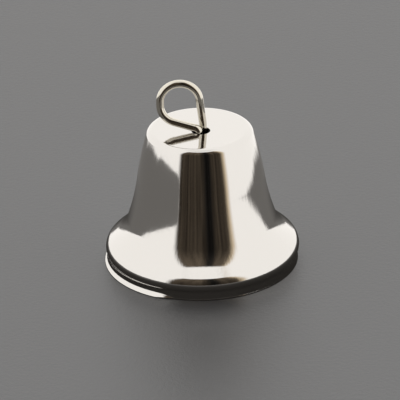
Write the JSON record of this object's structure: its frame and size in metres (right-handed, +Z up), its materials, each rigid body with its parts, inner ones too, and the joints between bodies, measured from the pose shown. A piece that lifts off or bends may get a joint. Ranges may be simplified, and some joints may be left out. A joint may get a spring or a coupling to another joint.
{
  "type": "christmas bell ornament",
  "caption": "Small nickel-plated craft bell with a flat crown, a flared rim, a teardrop wire loop to hang it by and a ball clapper on a wire inside.",
  "frame": {"origin": "the bell's axis in the plane of the rim it stands on", "axes": "+Z up along the bell's axis, towards the crown and the hanging loop; the loop leans towards -X, and -Y is the side the loop's face is seen from"},
  "size_m": [0.02, 0.02, 0.0205],
  "materials": {
    "shell_plating": "bright nickel plating on pressed steel, with fine streaks up the wall",
    "wire_plating": "bright nickel-plated steel wire, slightly warm",
    "clapper_wire_steel": "plain drawn steel wire",
    "clapper_ball_steel": "dull nickel-plated steel"
  },
  "bodies": {
    "bell": {"bell_shell": "shell_plating"},
    "hanger": {"hanger_wire": "wire_plating"},
    "clapper": {"clapper_wire": "clapper_wire_steel", "clapper_ball": "clapper_ball_steel"}
  },
  "joints": [
    {"name": "hanger_swivel", "type": "hinge", "parent": "bell", "child": "hanger", "pos_m": [0.0001, -0.0005, 0.0148], "axis": [0, 0, 1], "continuous": true},
    {"name": "clapper_swing", "type": "hinge", "parent": "hanger", "child": "clapper", "pos_m": [0.0001, -0.0005, 0.011], "axis": [0, 1, 0], "range_deg": [-32.5, 32.5]}
  ]
}
